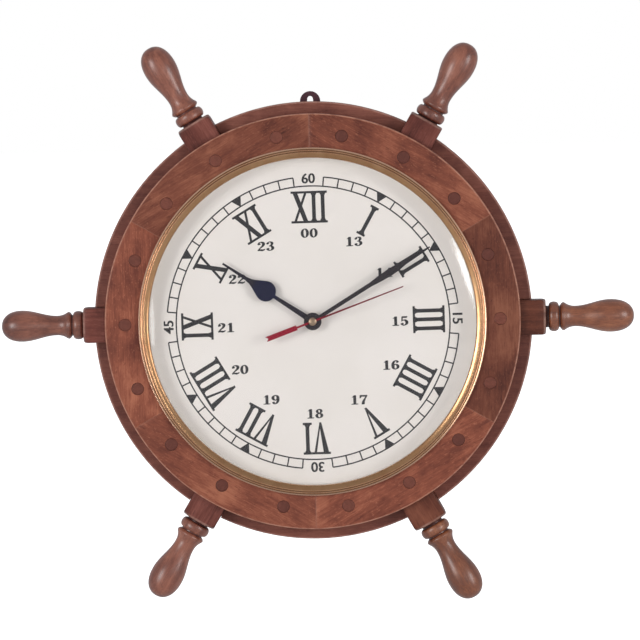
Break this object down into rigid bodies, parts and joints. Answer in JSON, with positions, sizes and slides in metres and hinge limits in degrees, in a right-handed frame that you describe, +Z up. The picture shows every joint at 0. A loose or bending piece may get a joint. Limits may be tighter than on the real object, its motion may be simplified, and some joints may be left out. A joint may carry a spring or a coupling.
{
  "type": "ships wheel clock",
  "caption": "Wall clock in a wooden ship's wheel with turned handles, brass bezel, domed glass, twelve-hour dial with 24-hour figures and battery movement.",
  "frame": {"origin": "middle of the hanging eye's slot, in the plane of the wall", "axes": "+X to the right seen from the front, through the left and right handles' direction; +Y into the wall, so the dial faces -Y; +Z up"},
  "size_m": [0.4506, 0.0504, 0.3976],
  "materials": {
    "front_wood": "satin varnish",
    "back_wood": "satin varnish",
    "spoke_wood": "semi-gloss varnish",
    "dowel_wood": "varnished end grain",
    "eye_metal": "dark maroon",
    "steel": "plain",
    "brass": "polished, lightly aged",
    "glass": "clear, domed",
    "spacer_card": "matt off-white",
    "dial_card": "printed off-white",
    "board_wood": "bare plywood",
    "case_plastic": "black moulded",
    "battery_wrap": "plain shrink wrap",
    "circuit": "green laminate",
    "copper_wire": "enamelled winding",
    "gear_plastic": "natural",
    "gear_brass": "stamped",
    "hand_black": "satin black",
    "hand_red": "satin red",
    "cap_copper": "polished"
  },
  "bodies": {
    "wheel": {"back_ring": "back_wood", "felloe_1": "front_wood", "felloe_2": "front_wood", "felloe_3": "front_wood", "felloe_4": "front_wood", "felloe_5": "front_wood", "felloe_6": "front_wood", "spoke_1": "spoke_wood", "spoke_2": "spoke_wood", "spoke_3": "spoke_wood", "spoke_4": "spoke_wood", "spoke_5": "spoke_wood", "spoke_6": "spoke_wood", "dowel_1": "dowel_wood", "dowel_2": "dowel_wood", "dowel_3": "dowel_wood", "dowel_4": "dowel_wood", "dowel_5": "dowel_wood", "dowel_6": "dowel_wood", "dowel_7": "dowel_wood", "dowel_8": "dowel_wood", "dowel_9": "dowel_wood", "dowel_10": "dowel_wood", "dowel_11": "dowel_wood", "dowel_12": "dowel_wood", "dowel_13": "dowel_wood", "dowel_14": "dowel_wood", "dowel_15": "dowel_wood", "dowel_16": "dowel_wood", "dowel_17": "dowel_wood", "dowel_18": "dowel_wood", "hanging_eye": "eye_metal", "eye_screw_left": "steel", "eye_screw_right": "steel", "bezel": "brass", "glass": "glass", "glass_spacer": "spacer_card", "dial": "dial_card", "dial_board": "board_wood", "dial_nut": "brass", "movement_case": "case_plastic", "movement_cover": "case_plastic", "battery": "battery_wrap", "contact_negative": "steel", "contact_positive": "steel", "circuit_board": "circuit", "coil": "copper_wire", "stator": "steel"},
    "minute_arbor": {"centre_wheel": "gear_brass", "minute_hand": "hand_black"},
    "hour_arbor": {"hour_wheel": "gear_plastic", "hour_hand": "hand_black"},
    "second_arbor": {"second_wheel": "gear_brass", "second_hand": "hand_red", "second_hand_cap": "cap_copper"},
    "motion_arbor": {"motion_wheel": "gear_plastic", "set_knob": "case_plastic"},
    "third_arbor": {"third_wheel": "gear_plastic"},
    "fifth_arbor": {"fifth_wheel": "gear_plastic"},
    "rotor_arbor": {"rotor": "gear_plastic"}
  },
  "joints": [
    {"name": "minute_turn", "type": "hinge", "parent": "wheel", "child": "minute_arbor", "pos_m": [0, -0.026, -0.1578], "axis": [0, 1, 0], "continuous": true},
    {"name": "hour_turn", "type": "hinge", "parent": "wheel", "child": "hour_arbor", "pos_m": [0, -0.026, -0.1578], "axis": [0, 1, 0], "continuous": true},
    {"name": "second_turn", "type": "hinge", "parent": "wheel", "child": "second_arbor", "pos_m": [0, -0.026, -0.1578], "axis": [0, 1, 0], "continuous": true},
    {"name": "motion_turn", "type": "hinge", "parent": "wheel", "child": "motion_arbor", "pos_m": [0, -0.018, -0.1494], "axis": [0, 1, 0], "continuous": true},
    {"name": "third_turn", "type": "hinge", "parent": "wheel", "child": "third_arbor", "pos_m": [-0.00788, -0.018, -0.15569], "axis": [0, 1, 0], "continuous": true},
    {"name": "fifth_turn", "type": "hinge", "parent": "wheel", "child": "fifth_arbor", "pos_m": [0.00811, -0.018, -0.15563], "axis": [0, 1, 0], "continuous": true},
    {"name": "rotor_turn", "type": "hinge", "parent": "wheel", "child": "rotor_arbor", "pos_m": [0.01348, -0.018, -0.15113], "axis": [0, 1, 0], "continuous": true}
  ],
  "couplings": [
    {"joint": "hour_turn", "follows": "minute_turn", "ratio": 0.083333},
    {"joint": "motion_turn", "follows": "minute_turn", "ratio": -0.33333},
    {"joint": "third_turn", "follows": "minute_turn", "ratio": -8},
    {"joint": "second_turn", "follows": "minute_turn", "ratio": 60},
    {"joint": "fifth_turn", "follows": "minute_turn", "ratio": -300},
    {"joint": "rotor_turn", "follows": "minute_turn", "ratio": 1800}
  ]
}
